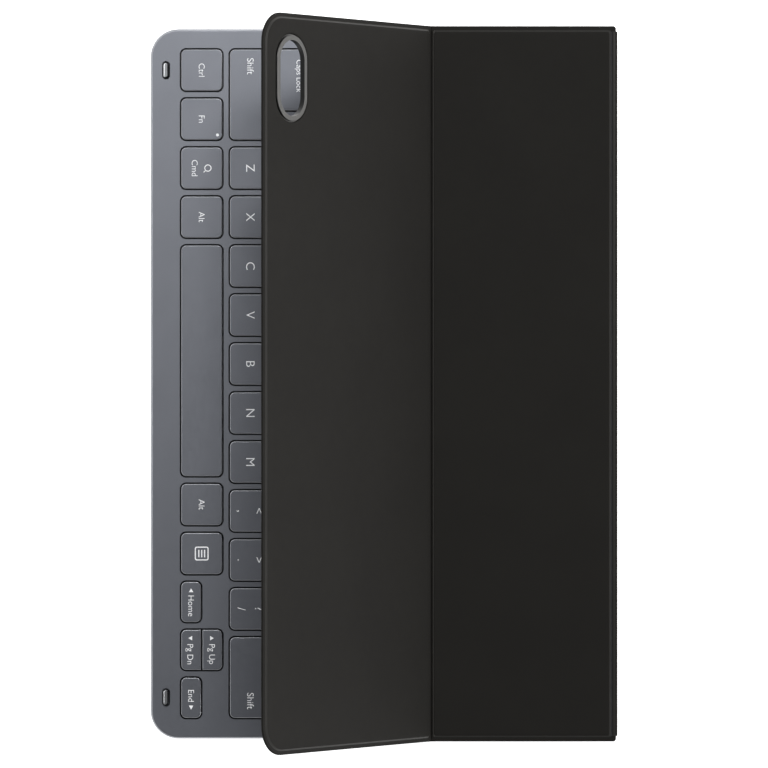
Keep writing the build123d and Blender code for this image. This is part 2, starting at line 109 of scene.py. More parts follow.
def islands(node):
    """The separate solids in a CAD node, from left to right: points that share a face are one solid."""
    mesh = NODES[node].data
    numbers = {}
    welded = [numbers.setdefault(tuple(round(c / WELD) for c in v.co), len(numbers)) for v in mesh.vertices]
    leader = list(range(len(numbers)))

    def find(point):
        """The point that stands for the whole solid of this one."""
        while leader[point] != point:
            leader[point] = leader[leader[point]]
            point = leader[point]
        return point

    for face in mesh.polygons:
        first = find(welded[face.vertices[0]])
        for vertex in face.vertices[1:]:
            leader[find(welded[vertex])] = first
    found = {}
    for face in mesh.polygons:
        island = found.setdefault(find(welded[face.vertices[0]]), Island())
        ring = []
        for vertex in face.vertices:
            island.points.setdefault(welded[vertex], mesh.vertices[vertex].co.copy())
            ring.append(welded[vertex])
        if len(set(ring)) == len(ring):
            island.faces.append(ring)
    return sorted(found.values(), key=lambda island: island.corners()[0].x)


# ---------------------------------------------------------------- material building blocks
class Material:
    """A node material with helpers that keep each recipe short."""

    def __init__(self, name):
        self.material = bpy.data.materials.new(name)
        self.material.use_nodes = True
        self.tree = self.material.node_tree
        self.shader = self.tree.nodes["Principled BSDF"]
        self.place = self.tree.nodes.new("ShaderNodeTexCoord")

    def set(self, **values):
        """Sets sockets of the shader, named with underscores for spaces."""
        for name, value in values.items():
            self.shader.inputs[name.replace("_", " ").replace("  ", "_")].default_value = value
        return self

    def node(self, kind, **inputs):
        """Adds a node and sets its inputs; an input may be another node's output socket."""
        made = self.tree.nodes.new("ShaderNode" + kind)
        for name, value in inputs.items():
            socket = made.inputs[name.replace("_", " ")]
            if isinstance(value, bpy.types.NodeSocket):
                self.tree.links.new(value, socket)
            else:
                socket.default_value = value
        return made

    def noise(self, scale, detail=4.0, roughness=0.55):
        """Noise in the object's own space. scale is in features per metre."""
        where = self.place.outputs["Object"]
        return self.node("TexNoise", Vector=where, Scale=scale, Detail=detail, Roughness=roughness).outputs["Fac"]

    def cells(self, scale):
        """Voronoi distance in the object's own space."""
        return self.node("TexVoronoi", Vector=self.place.outputs["Object"], Scale=scale).outputs["Distance"]

    def ramp(self, fac, stops):
        """Colour ramp over (position, colour) stops; a colour may be one grey value."""
        made = self.node("ValToRGB", Fac=fac)
        elements = made.color_ramp.elements
        while len(elements) < len(stops):
            elements.new(0.5)
        for element, (position, colour) in zip(elements, stops):
            element.position = position
            element.color = (colour,) * 3 + (1,) if isinstance(colour, float) else (*colour, 1)
        return made.outputs["Color"]

    def math(self, operation, first, second=0.0):
        """Result of a maths node; a value may be another node's output socket."""
        made = self.tree.nodes.new("ShaderNodeMath")
        made.operation = operation
        for socket, value in zip(made.inputs, (first, second)):
            if isinstance(value, bpy.types.NodeSocket):
                self.tree.links.new(value, socket)
            else:
                socket.default_value = value
        return made.outputs["Value"]

    def part(self, output, axis):
        """One component of a vector output: 0, 1 or 2."""
        return self.node("SeparateXYZ", Vector=output).outputs[axis]

    def steepness(self):
        """1 where the surface stands upright in the piece's own space, 0 where it lies level."""
        level = self.math("ABSOLUTE", self.part(self.place.outputs["Normal"], 2))
        return self.math("SUBTRACT", 1.0, level)

    def above(self, value, limit):
        """1 where value is over limit, else 0."""
        return self.math("GREATER_THAN", value, limit)

    def blended(self, share, first, second):
        """Colour that goes from first to second with share; a colour may be an output socket."""
        made = self.tree.nodes.new("ShaderNodeMix")
        made.data_type = "RGBA"
        sockets = (made.inputs["Factor"], made.inputs[6], made.inputs[7])
        for socket, value in zip(sockets, (share, first, second)):
            if isinstance(value, bpy.types.NodeSocket):
                self.tree.links.new(value, socket)
            else:
                socket.default_value = (*value, 1) if isinstance(value, tuple) else value
        return made.outputs[2]

    def link(self, output, name):
        """Feeds a socket of the shader."""
        self.tree.links.new(output, self.shader.inputs[name])
        return self

    def bump(self, height, distance, strength):
        """Bump whose height of 1 is distance, in metres."""
        made = self.node("Bump", Height=height, Distance=distance, Strength=strength)
        return self.link(made.outputs["Normal"], "Normal")


def mottled(material, dark, light, scale):
    """A colour that varies softly between two linear colours."""
    return material.ramp(material.noise(scale, detail=5.0), [(0.35, dark), (0.65, light)])


def varied(material, dark, light, scale):
    """Gives a material that softly varying colour."""
    return material.link(mottled(material, dark, light, scale), "Base Color")


# ---------------------------------------------------------------- materials
GAP_SHADE = (0.010, 0.011, 0.015)  # painted shade on the walls inside the openings and on the keycaps below their tops
RIM_PAINTED_HIGHLIGHT = (0.42, 0.43, 0.46)  # painted highlight on the coating along the deck's rim
KEY_PAINTED_HIGHLIGHT = (0.52, 0.53, 0.56)  # and painted highlight along the rounded edges of the keycaps
DECK_CORNER = 10.1  # radius of the deck's front corners
RIM = 1.2  # width of the deck's rim that the painted highlight may reach
PLAIN_DECK_Y = 50.0  # behind this the deck has no openings
KEY_EDGE = 0.2  # how far below its top a keycap keeps its coat colour; lower down it has painted shade
CREASE_REACH = 1.3  # how far from the crease the step's leather takes its crease tone, a painted light on the lower panel
BUMPER_HIGHLIGHT_LEAN = math.radians(18)  # the painted highlight along a bumper's crown leans towards the front


def deck_paint():
    """Satin slate-grey coating with a very fine speckle and a painted highlight along the rim. The walls inside
    the openings are painted dark as painted shade."""
    made = Material("deck_paint").set(Metallic=0.75, Roughness=0.42)
    coat = mottled(made, (0.134, 0.141, 0.159), (0.142, 0.149, 0.168), 60.0)
    low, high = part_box("deck_frame")
    where = made.place.outputs["Object"]
    corner = DECK_CORNER * MM
    sideways = made.math("SUBTRACT", made.math("ABSOLUTE", made.part(where, 0)), high.x - corner)
    forward = made.math("SUBTRACT", made.math("MULTIPLY", made.part(where, 1), -1.0), -low.y - corner)
    across = made.math("POWER", made.math("MAXIMUM", sideways), 2.0)
    along = made.math("POWER", made.math("MAXIMUM", forward), 2.0)
    from_corner = made.math("SQRT", made.math("ADD", across, along))
    inside = made.math("LESS_THAN", from_corner, corner - RIM * MM)
    steep = made.steepness()
    edge = made.ramp(steep, [(0.01, 0.0), (0.06, 1.0), (0.55, 1.0), (0.75, 0.0)])
    edge = made.math("MULTIPLY", edge, made.math("SUBTRACT", 1.0, inside))
    # painted highlight along the deck's rounded rim
    coat = made.blended(edge, coat, RIM_PAINTED_HIGHLIGHT)
    # painted shade on the walls inside the openings
    ahead = made.math("LESS_THAN", made.part(where, 1), PLAIN_DECK_Y * MM)
    wall = made.math("MULTIPLY", made.math("MULTIPLY", inside, ahead), made.above(steep, 0.5))
    made.link(made.blended(wall, coat, GAP_SHADE), "Base Color")
    made.link(made.ramp(made.noise(1500.0), [(0.3, 0.38), (0.7, 0.45)]), "Roughness")
    return made.bump(made.noise(5200.0, detail=2.0), 0.000008, 0.4).material


def key_paint():
    """The same coating on the keycaps, with a painted highlight along their rounded edges and painted shade on
    their sides below those.
    """
    made = Material("key_paint").set(Metallic=0.75, Roughness=0.4)
    coat = mottled(made, (0.132, 0.139, 0.157), (0.140, 0.147, 0.166), 90.0)
    steep = made.steepness()
    # painted highlight along the keycap's rounded edges
    edge = made.ramp(steep, [(0.02, 0.0), (0.10, 1.0), (0.40, 1.0), (0.55, 0.0)])
    coat = made.blended(edge, coat, KEY_PAINTED_HIGHLIGHT)
    # painted shade on the keycap's sides below its top edge
    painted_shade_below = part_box("key_space")[1].z - KEY_EDGE * MM
    below = made.math("LESS_THAN", made.part(made.place.outputs["Object"], 2), painted_shade_below)
    wall = made.math("MAXIMUM", below, made.above(steep, 0.6))
    made.link(made.blended(wall, coat, GAP_SHADE), "Base Color")
    made.link(made.ramp(made.noise(900.0), [(0.3, 0.36), (0.7, 0.43)]), "Roughness")
    return made.bump(made.noise(6000.0, detail=2.0), 0.000007, 0.4).material


def leather(name, roughness, gloss):
    """Polyurethane leather, still without its colour: very small flat pebbles with fine creases between them."""
    made = Material(name).set(Specular_IOR_Level=gloss)
    pebble = made.math("MULTIPLY", made.cells(2600.0), 0.8)
    height = made.math("ADD", pebble, made.math("MULTIPLY", made.noise(7000.0, detail=3.0), 0.3))
    made.link(made.ramp(made.noise(300.0), [(0.3, roughness - 0.03), (0.7, roughness + 0.03)]), "Roughness")
    return made.bump(height, 0.00002, 0.3)


def cover_leather():
    """Near-black outer skin."""
    made = leather("cover_leather", 0.62, 0.05)
    return varied(made, (0.0110, 0.0104, 0.0094), (0.0120, 0.0114, 0.0102), 30.0).material


def step_highlight_leather(name, shade, crease_painted_light):
    """The same skin along its step, smoother and paler: the paler tone is a painted highlight. The last argument
    is its tone beside the crease, paler on the lower panel as painted light where the crease lies in shade."""
    made = leather(name, 0.50, 0.12)

    def tone(value):
        return value, value * 0.97, value * 0.90

    # painted highlight: the step's paler tone
    coat = mottled(made, tone(shade), tone(shade * 1.13), 30.0)
    # painted light beside the crease, where it lies in shade
    away = made.math("ABSOLUTE", made.math("SUBTRACT", made.part(made.place.outputs["Object"], 1), CREASE.y))
    near = made.math("LESS_THAN", away, CREASE_REACH * MM)
    return made.link(made.blended(near, coat, tone(crease_painted_light)), "Base Color").material


def lining_suede():
    """Charcoal microfibre with a short nap."""
    made = Material("lining_suede").set(Roughness=0.95, Specular_IOR_Level=0.15, Sheen_Weight=0.25,
                                        Sheen_Roughness=0.45)
    brushed = made.math("MULTIPLY", made.noise(130.0, detail=3.0), 0.3)
    nap = made.math("ADD", made.noise(900.0, detail=6.0), brushed)
    made.link(made.ramp(nap, [(0.45, (0.026, 0.026, 0.028)), (0.85, (0.044, 0.044, 0.048))]), "Base Color")
    return made.bump(made.noise(3800.0, detail=6.0, roughness=0.75), 0.00008, 0.8).material


def ring_metal():
    """Bead-blasted grey anodised face; the bore through the window is darkened as painted shade."""
    made = Material("ring_metal").set(Metallic=0.75, Roughness=0.42)
    face = mottled(made, (0.060, 0.059, 0.057), (0.068, 0.067, 0.065), 200.0)
    normal = made.place.outputs["Normal"]
    facing = made.math("ADD", made.math("MULTIPLY", made.part(normal, 1), math.sin(REST_FOLD)),
                       made.math("MULTIPLY", made.part(normal, 2), math.cos(REST_FOLD)))
    # painted shade: faces turned away from the panel's face, the bore walls, are darkened
    bore = made.math("LESS_THAN", facing, 0.25)
    made.link(made.blended(bore, face, (0.014, 0.014, 0.014)), "Base Color")
    made.link(made.ramp(made.noise(4000.0), [(0.3, 0.38), (0.7, 0.46)]), "Roughness")
    return made.bump(made.noise(9000.0, detail=2.0), 0.000010, 0.4).material


def bumper_rubber():
    """Dark silicone rubber with a painted gunmetal highlight along the crown."""
    made = Material("bumper_rubber").set(Metallic=0.75, Roughness=0.30)
    body = made.ramp(made.noise(500.0), [(0.35, (0.014, 0.015, 0.017)), (0.65, (0.022, 0.023, 0.026))])
    normal = made.place.outputs["Normal"]
    facing = made.math("SUBTRACT", made.math("MULTIPLY", made.part(normal, 2), math.cos(BUMPER_HIGHLIGHT_LEAN)),
                       made.math("MULTIPLY", made.part(normal, 1), math.sin(BUMPER_HIGHLIGHT_LEAN)))
    # painted highlight on the crown, leaning towards the front
    crown_highlight = made.ramp(facing, [(0.92, 0.0), (0.99, 1.0)])
    made.link(made.blended(crown_highlight, body, (0.50, 0.51, 0.53)), "Base Color")
    return made.bump(made.noise(2500.0), 0.000008, 0.2).material


def dark_plastic():
    """Moulded black plastic with a fine texture."""
    made = Material("dark_plastic").set(Roughness=0.5)
    varied(made, (0.020, 0.021, 0.023), (0.032, 0.033, 0.036), 300.0)
    return made.bump(made.noise(3500.0), 0.00002, 0.5).material


def contact_gold():
    """Gold-plated spring contacts with light wear on their tips."""
    made = Material("contact_gold").set(Metallic=1.0, Roughness=0.22)
    varied(made, (0.72, 0.50, 0.20), (0.90, 0.66, 0.30), 900.0)
    return made.bump(made.noise(5000.0), 0.00001, 0.3).material


def sheet_metal():
    """Rolled plate, brushed along X."""
    made = Material("sheet_metal").set(Metallic=1.0, Roughness=0.4)
    stretch = made.node("Mapping", Vector=made.place.outputs["Object"], Scale=(40.0, 4000.0, 4000.0))
    streak = made.node("TexNoise", Vector=stretch.outputs["Vector"], Scale=1.0, Detail=3.0).outputs["Fac"]
    made.link(made.ramp(streak, [(0.3, (0.40, 0.40, 0.41)), (0.7, (0.56, 0.56, 0.57))]), "Base Color")
    return made.bump(streak, 0.00001, 0.5).material


def contact_film():
    """Black-printed contact foil."""
    made = Material("contact_film").set(Roughness=0.35)
    varied(made, (0.012, 0.013, 0.015), (0.022, 0.023, 0.026), 120.0)
    return made.bump(made.noise(600.0), 0.00002, 0.3).material


def pale_silicone():
    """Milky silicone of the key domes."""
    made = Material("pale_silicone").set(Roughness=0.45, Subsurface_Weight=0.2, Subsurface_Scale=0.001)
    varied(made, (0.42, 0.42, 0.40), (0.52, 0.52, 0.50), 300.0)
    return made.bump(made.noise(2500.0), 0.00002, 0.3).material


def link_acetal():
    """Dark grey moulded scissor frames."""
    made = Material("link_acetal").set(Roughness=0.4)
    varied(made, (0.045, 0.046, 0.050), (0.060, 0.061, 0.066), 400.0)
    return made.bump(made.noise(3000.0), 0.00002, 0.3).material


def circuit_board():
    """Green solder mask."""
    made = Material("circuit_board").set(Roughness=0.3)
    varied(made, (0.010, 0.075, 0.035), (0.018, 0.105, 0.050), 250.0)
    return made.bump(made.noise(1500.0), 0.00002, 0.3).material


def fibre_board():
    """Pressed glass-fibre stiffener."""
    made = Material("fibre_board").set(Roughness=0.7)
    varied(made, (0.20, 0.19, 0.16), (0.30, 0.28, 0.24), 400.0)
    return made.bump(made.noise(1800.0), 0.00004, 0.5).material


def legend_ink():
    """White printed legends, slightly uneven."""
    made = Material("legend_ink").set(Roughness=0.5)
    varied(made, (0.90, 0.91, 0.93), (0.96, 0.97, 0.98), 1500.0)
    return made.bump(made.noise(6000.0), 0.000005, 0.4).material


def table_top():
    """Plain pale table with a faint tone variation."""
    made = Material("table_top").set(Roughness=0.9, Specular_IOR_Level=0.1)
    varied(made, (0.93, 0.93, 0.93), (0.96, 0.96, 0.96), 3.0)
    made.set(Emission_Color=(1, 1, 1, 1), Emission_Strength=0.85)
    return made.material


def dress(material, names):
    """Gives CAD nodes their material."""
    for name in names:
        NODES[name].data.materials.clear()
        NODES[name].data.materials.append(material)


# ---------------------------------------------------------------- mesh building blocks
LEAST_CORNER = 0.35  # a ring's corner radius never shrinks below this
STEP_CORNER = 0.9  # or below this, from the border's inner part on
STEP_FROM = 1.1  # the inset where that part starts
CORNER_STEPS = 10  # segments in a plate's corner
SLOT_STEPS = 20  # segments in each round end of a slot
EVEN = (1.0, 1.0, 1.0)  # the same inset on every side of a plate


def finish_mesh(name, bm, material, body, sharp=50, highlight_material=None):
    """Turns a bmesh in metres into a shaded piece that rides on a body; body None leaves it unattached."""
    bmesh.ops.remove_doubles(bm, verts=bm.verts, dist=1e-7)
    bmesh.ops.recalc_face_normals(bm, faces=bm.faces)
    mesh = bpy.data.meshes.new(name)
    bm.to_mesh(mesh)
    bm.free()
    mesh.shade_smooth()
    mesh.set_sharp_from_angle(angle=math.radians(sharp))
    mesh.materials.append(material)
    if highlight_material:
        mesh.materials.append(highlight_material)
    piece = bpy.data.objects.new(name, mesh)
    SCENE.collection.objects.link(piece)
    if body:
        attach(piece, body)
    return piece


def rounded_ring(box, radii, inset, scales=EVEN, steps=CORNER_STEPS, least=LEAST_CORNER):
    """Outline of a plate moved inwards. box is (x0, x1, y0, y1); radii are (front, rear); scales multiply
    the inset on the long sides, at the front and at the rear."""
    side, front, rear = (inset * scale for scale in scales)
    x0, x1 = box[0] + side, box[1] - side
    y0, y1 = box[2] + front, box[3] - rear
    ring = []
    corners = ((x1, y0, -1, 1, radii[0], -90), (x1, y1, -1, -1, radii[1], 0),
               (x0, y1, 1, -1, radii[1], 90), (x0, y0, 1, 1, radii[0], 180))
    for x, y, to_x, to_y, radius, start in corners:
        bend = max(radius - inset, least)
        for step in range(steps + 1):
            angle = math.radians(start + 90 * step / steps)
            ring.append((x + to_x * bend + bend * math.cos(angle), y + to_y * bend + bend * math.sin(angle)))
    return ring


def pill_ring(centre, length, width, grow):
    """Slot outline along X, grown all round."""
    radius = width / 2 + grow
    half = (length - width) / 2
    ring = []
    for side, start in ((1, -90), (-1, 90)):
        for step in range(SLOT_STEPS + 1):
            angle = math.radians(start + 180 * step / SLOT_STEPS)
            ring.append((centre[0] + side * half + radius * math.cos(angle), centre[1] + radius * math.sin(angle)))
    return ring


def add_ring(bm, ring, height, place):
    """Adds a closed ring of vertices at a height; place maps flat millimetres to metres."""
    return [bm.verts.new(place(Vector((x, y, height)))) for x, y in ring]


def bridge(bm, first, second, slot):
    """Quads between two rings of equal count, in that material slot."""
    count = len(first)
    for i in range(count):
        j = (i + 1) % count
        bm.faces.new((first[i], first[j], second[j], second[i])).material_index = slot


def cap(bm, rings):
    """Fills the flat area bounded by an outer ring and any inner rings."""
    edges = []
    for ring in rings:
        for first, second in zip(ring, ring[1:] + ring[:1]):
            edges.append(bm.edges.get((first, second)) or bm.edges.new((first, second)))
    bmesh.ops.triangle_fill(bm, use_beauty=True, edges=edges)


def loft(bm, rings, second_slot=range(0)):
    """Quads from ring to ring; the bands numbered in second_slot take the second material."""
    for number, (first, second) in enumerate(zip(rings, rings[1:])):
        bridge(bm, first, second, int(number in second_slot))


def plate(name, box, radii, profile, place, material, body, scales=EVEN, hole=None, highlight_material=None,
          bands=range(0)):
    """A closed plate whose edge follows profile, a list of (inset, height) from underneath to the top.
    hole is (centre, length, width, profile), with its profile as (growth, height) from the top down.
    The numbered bands of the profile take the second material, a painted highlight."""
    bm = bmesh.new()
    rings = []
    for inset, height in profile:
        least = STEP_CORNER if inset > STEP_FROM else LEAST_CORNER
        rings.append(add_ring(bm, rounded_ring(box, radii, inset, scales, least=least), height, place))
    loft(bm, rings, bands)
    under, top = [rings[0]], [rings[-1]]
    if hole:
        centre, length, width, wall = hole
        holes = [add_ring(bm, pill_ring(centre, length, width, grow), height, place) for grow, height in wall]
        loft(bm, holes)
        top.append(holes[0])
        under.append(holes[-1])
    cap(bm, under)
    cap(bm, top)
    return finish_mesh(name, bm, material, body, highlight_material=highlight_material)


def flat_place(point):
    """Flat millimetres to metres."""
    return point * MM


def raised_place(point):
    """Flat millimetres on the upper panel to its folded place in metres."""
    return unfold_matrix(-REST_FOLD) @ (point * MM)


def strip(name, section, half_length, material, highlight_material=None, edge=None):
    """A soft strip along X. section is a closed list of (y, z) points in metres; its ends are rounded.
    edge is the range of y over which its upper faces take the second material, a painted highlight."""
    middle = Vector((sum(p[0] for p in section) / len(section), sum(p[1] for p in section) / len(section)))
    ends = ((half_length, 0.75), (half_length - 0.08 * MM, 0.93), (half_length - 0.3 * MM, 1.0))
    stations = [(-x, size) for x, size in ends] + [(x, size) for x, size in reversed(ends)]
    bm = bmesh.new()
    rings = []
    for x, size in stations:
        ring = []
        for y, z in section:
            point = middle + (Vector((y, z)) - middle) * size
            ring.append(bm.verts.new((x, point.x, point.y)))
        rings.append(ring)
    loft(bm, rings)
    for ring in (rings[0], rings[-1]):
        bm.faces.new(ring)
    if highlight_material:
        bm.normal_update()
        for face in bm.faces:
            if face.normal.z > 0.3 and edge[0] < face.calc_center_median().y < edge[1]:
                face.material_index = 1
    return finish_mesh(name, bm, material, None, sharp=60, highlight_material=highlight_material)


def ribbon(path, thickness):
    """Closed section that follows a path of (y, z) points at an even thickness, with round ends."""
    points = [Vector(p) for p in path]
    normals = []
    for i, point in enumerate(points):
        along = (points[min(i + 1, len(points) - 1)] - points[max(i - 1, 0)]).normalized()
        normals.append(Vector((-along.y, along.x)))
    half = thickness / 2
    upper = [p + n * half for p, n in zip(points, normals)]
    lower = [p - n * half for p, n in zip(points, normals)]
    end = [points[-1] + (points[-1] - points[-2]).normalized() * half * 0.8]
    start = [points[0] + (points[0] - points[1]).normalized() * half * 0.8]
    return [tuple(p) for p in start + lower + end + list(reversed(upper))]


def smooth_step(value):
    """0 below 0, 1 above 1, and a smooth rise between."""
    value = min(max(value, 0.0), 1.0)
    return value * value * (3 - 2 * value)


# ---------------------------------------------------------------- cover
RING_FLANGE = 1.4  # hidden flange round the ring
LOWER_EDGE = -0.03  # where the lower panel's skin starts, from the crease towards the spine
UPPER_EDGE = 0.64  # where the upper panel's skin starts, from the crease towards its free edge
UPPER_RADII = (10.6, 0.5)  # corners at the upper panel's free edge and at its crease
LOWER_RADII = (0.5, 1.0)  # corners at the lower panel's crease and at its rear edge
# How wide each border is against panel_profile: at the short ends, at the front and at the rear.
UPPER_BORDERS = (1.12, 1.0, 1.1)
LOWER_BORDERS = (1.2, 0.60, 1.30)
STEP_BANDS = range(12, 16)  # the bands of panel_profile that make the step, which carry its painted highlight
SKIN_STRIP = 0.42  # thickness of the soft strip where the skin bends
LINING_STRIP = 0.30  # and of the one where the lining bends
BASE_STRIP = 0.44  # and of the one under the spine
TURN_STEPS = 12  # segments in a quarter turn of a strip
BEND_STEPS = 24  # segments of the strips at the crease
CREASE_TURN = 0.9  # the crease bends over this length to each side


def panel_profile():
    """Edge of a panel's skin from underneath: turned edge, flat border, soft step, full thickness."""
    turned = [(1.0, 0.30), (0.42, 0.30), (0.36, 0.06), (0.22, 0.03), (0.08, 0.12), (0.0, 0.32), (0.0, 0.66)]
    border = [(0.05, 0.82), (0.16, 0.94), (0.34, 0.995), (0.60, 1.0), (1.05, 1.0)]
    step = [(1.24, 1.02), (1.38, 1.10), (1.50, 1.24), (1.62, 1.40), (1.78, 1.52), (2.00, 1.58), (2.35, 1.6)]
    return turned + border + step + [(3.2, 1.6)]


def lining_profile():
    """Edge of the lining sheet, just inside the turned edge."""
    return [(1.5, 0.0), (0.60, 0.0), (0.48, 0.03), (0.44, 0.12), (0.44, 0.25), (0.55, 0.33), (0.9, 0.34)]


def lifted(profile, base):
    """The same profile, moved up by base."""
    return [(inset, base + height) for inset, height in profile]


def camera_hole():
    """Centre, length and width of the camera window in the flat cover, from its ring."""
    low, high = flat_box("camera_ring")
    middle = (low + high) / 2 / MM
    size = (high - low) / MM
    return (middle.x, middle.y), size.x - 2 * RING_FLANGE, size.y - 2 * RING_FLANGE


def upper_cover(leather, suede, highlight_material):
    """Outer skin and lining of the folded-up panel."""
    low, high = flat_box("upper_outer_skin")
    base = flat_box("upper_lining")[0].z / MM
    edge = CREASE.y / MM - UPPER_EDGE
    box = (low.x / MM, high.x / MM, low.y / MM, edge)
    centre, length, width = camera_hole()
    wall = lifted([(2.2, 1.6), (1.1, 1.6), (0.75, 1.56), (0.50, 1.44), (0.34, 1.25), (0.25, 0.95), (0.25, 0.30)],
                  base)
    skin = plate("cover_skin_upper", box, UPPER_RADII, lifted(panel_profile(), base), raised_place, leather,
                 "upper_panel", UPPER_BORDERS, (centre, length, width, wall), highlight_material, STEP_BANDS)
    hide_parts("upper_outer_skin")
    lining_wall = lifted([(0.5, 0.34), (0.2, 0.3), (0.12, 0.2), (0.12, 0.08), (0.2, 0.0), (0.8, 0.0)], base)
    lining = plate("lining_upper", box, UPPER_RADII, lifted(lining_profile(), base), raised_place, suede,
                   "upper_panel", EVEN, (centre, length, width, lining_wall))
    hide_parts("upper_lining")


def lower_cover(leather, suede, highlight_material):
    """Outer skin and lining of the level panel."""
    low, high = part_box("lower_outer_skin")
    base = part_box("lower_lining")[0].z / MM
    box = (low.x / MM, high.x / MM, CREASE.y / MM + LOWER_EDGE, high.y / MM)
    skin = plate("cover_skin_lower", box, LOWER_RADII, lifted(panel_profile(), base), flat_place, leather,
                 "lower_panel", LOWER_BORDERS, highlight_material=highlight_material, bands=STEP_BANDS)
    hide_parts("lower_outer_skin")
    lining = plate("lining_lower", box, LOWER_RADII, lifted(lining_profile(), base), flat_place, suede,
                   "lower_panel")
    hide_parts("lower_lining")


def mid_crease(leather, suede):
    """The skin and the lining run on through the crease as soft strips, shaped as they lie at the rest fold."""
    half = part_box("mid_crease")[1].x
    turn = CREASE_TURN * MM

    def bent(reach_lower, reach_upper, height):
        """Line from the lower panel over the crease to the upper one, as (y, z) points in metres."""
        path = []
        for step in range(BEND_STEPS + 1):
            along = reach_lower + (reach_upper - reach_lower) * step / BEND_STEPS
            angle = REST_FOLD * smooth_step((turn - along) / (2 * turn))
            point = unfold_matrix(-angle) @ (CREASE + Vector((0, along, height)))
            path.append((point.y, point.z))
        return path

    outer = ribbon(bent(1.6 * MM, -2.6 * MM, 0.10 * MM), SKIN_STRIP * MM)
    inner = ribbon(bent(1.2 * MM, -2.2 * MM, -0.30 * MM), LINING_STRIP * MM)
    skin = strip("crease_skin_mid", outer, half, leather)
    lining = strip("crease_lining_mid", inner, half, suede)
    for piece in (skin, lining):
        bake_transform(piece)
    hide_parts("mid_crease")


# ---------------------------------------------------------------- spine and base skin
def quarter_path(hinge, radius, start, end, before, after):
    """Straight, quarter turn about the hinge line, straight: as (y, z) points in metres."""
    path = []
    first = Vector((math.cos(start), math.sin(start)))
    last = Vector((math.cos(end), math.sin(end)))
    turn = 1 if end > start else -1
    lead = Vector((first.y, -first.x)) * turn
    away = Vector((-last.y, last.x)) * turn
    centre = Vector((hinge.y, hinge.z))
    path.append(tuple(centre + first * radius + lead * before))
    for step in range(TURN_STEPS + 1):
        angle = start + (end - start) * step / TURN_STEPS
        path.append(tuple(centre + Vector((math.cos(angle), math.sin(angle))) * radius))
    path.append(tuple(centre + last * radius + away * after))
    return path


def spine(leather, suede):
    """Standing spine: skin outside, lining inside, both with rounded edges."""
    low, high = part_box("spine_skin")
    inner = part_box("spine_lining")[0].y
    thick = (high.y - inner) / MM

    def standing(point):
        """Flat millimetres, with the plate's top outwards, to the standing spine in metres."""
        return Vector((point.x * MM, high.y + (point.z - thick) * MM, point.y * MM))

    box = (low.x / MM, high.x / MM, low.z / MM + 0.1, high.z / MM - 0.05)
    skin_profile = [(0.8, 0.36), (0.2, 0.36), (0.05, 0.42), (0.0, 0.6), (0.0, thick - 0.35),
                    (0.08, thick - 0.13), (0.25, thick - 0.02), (0.6, thick), (1.4, thick)]
    skin = plate("spine_outer", box, (0.6, 0.6), skin_profile, standing, leather, "spine")
    lining_edge = [(1.2, 0.0), (0.4, 0.0), (0.12, 0.02), (0.05, 0.12), (0.05, 0.30), (0.4, 0.35)]
    lining = plate("spine_inner", box, (0.6, 0.6), lining_edge, standing, suede, "spine")
    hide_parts("spine_skin")
    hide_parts("spine_lining")


def cover_crease(leather, suede, highlight_material):
    """Strip that turns from the top of the spine into the lower panel, with a painted highlight along its bend."""
    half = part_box("cover_crease")[1].x
    outer = quarter_path(COVER_HINGE, 0.62 * MM, 0.0, math.pi / 2, 1.2 * MM, 0.9 * MM)
    # painted highlight on the upper faces of the bend
    bend = (COVER_HINGE.y - 0.45 * MM, COVER_HINGE.y + 0.05 * MM)
    skin = strip("crease_skin_rear", ribbon(outer, SKIN_STRIP * MM), half, leather, highlight_material, bend)
    inner = quarter_path(COVER_HINGE, 0.22 * MM, 0.0, math.pi / 2, 1.3 * MM, 1.6 * MM)
    lining = strip("crease_lining_rear", ribbon(inner, LINING_STRIP * MM), half, suede)
    for piece in (skin, lining):
        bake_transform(piece)
    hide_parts("cover_crease")


def base_crease(leather):
    """Strip that turns from the bottom skin up into the spine."""
    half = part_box("base_crease")[1].x
    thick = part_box("bottom_skin")[1].z
    inner_corner = Vector((0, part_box("spine_skin")[1].y - thick, thick))
    outer = quarter_path(inner_corner, 0.55 * MM, -math.pi / 2, 0.0, 1.5 * MM, 1.3 * MM)
    skin = strip("crease_skin_base", ribbon(outer, BASE_STRIP * MM), half, leather)
    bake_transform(skin)
    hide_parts("base_crease")


def underside(leather):
    """Skin under the base, with a rounded lower edge."""
    low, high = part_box("bottom_skin")
    box = (low.x / MM, high.x / MM, low.y / MM, high.y / MM)
    profile = [(2.0, 0.0), (0.8, 0.0), (0.4, 0.04), (0.12, 0.2), (0.0, 0.42), (0.0, 0.7), (0.1, 0.79), (0.8, 0.8)]
    skin = plate("base_skin", box, (9.8, 1.6), profile, flat_place, leather, "base")
    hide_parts("bottom_skin")


# ---------------------------------------------------------------- switches under the keys
def switch_parts(node, material):
    """Rebuilds a node of small parts under the keys as one piece for each key,
    riding on the base."""
    keys = {name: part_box(name) for name in NODES if name.startswith("key")}
    meshes = {}
    for island in islands(node):
        x, y = (middle * MM for middle in middle_of(*island.corners()))
        key = next(name for name, (low, high) in keys.items() if low.x < x < high.x and low.y < y < high.y)
        if key not in meshes:
            meshes[key] = bmesh.new()
        bm = meshes[key]
        made = {number: bm.verts.new(point) for number, point in island.points.items()}
        for ring in island.faces:
            bm.faces.new([made[number] for number in ring])
    for key, bm in meshes.items():
        piece = finish_mesh(f"{node}_{key}", bm, material, "base", sharp=35)
        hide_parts(node)
        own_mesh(piece)


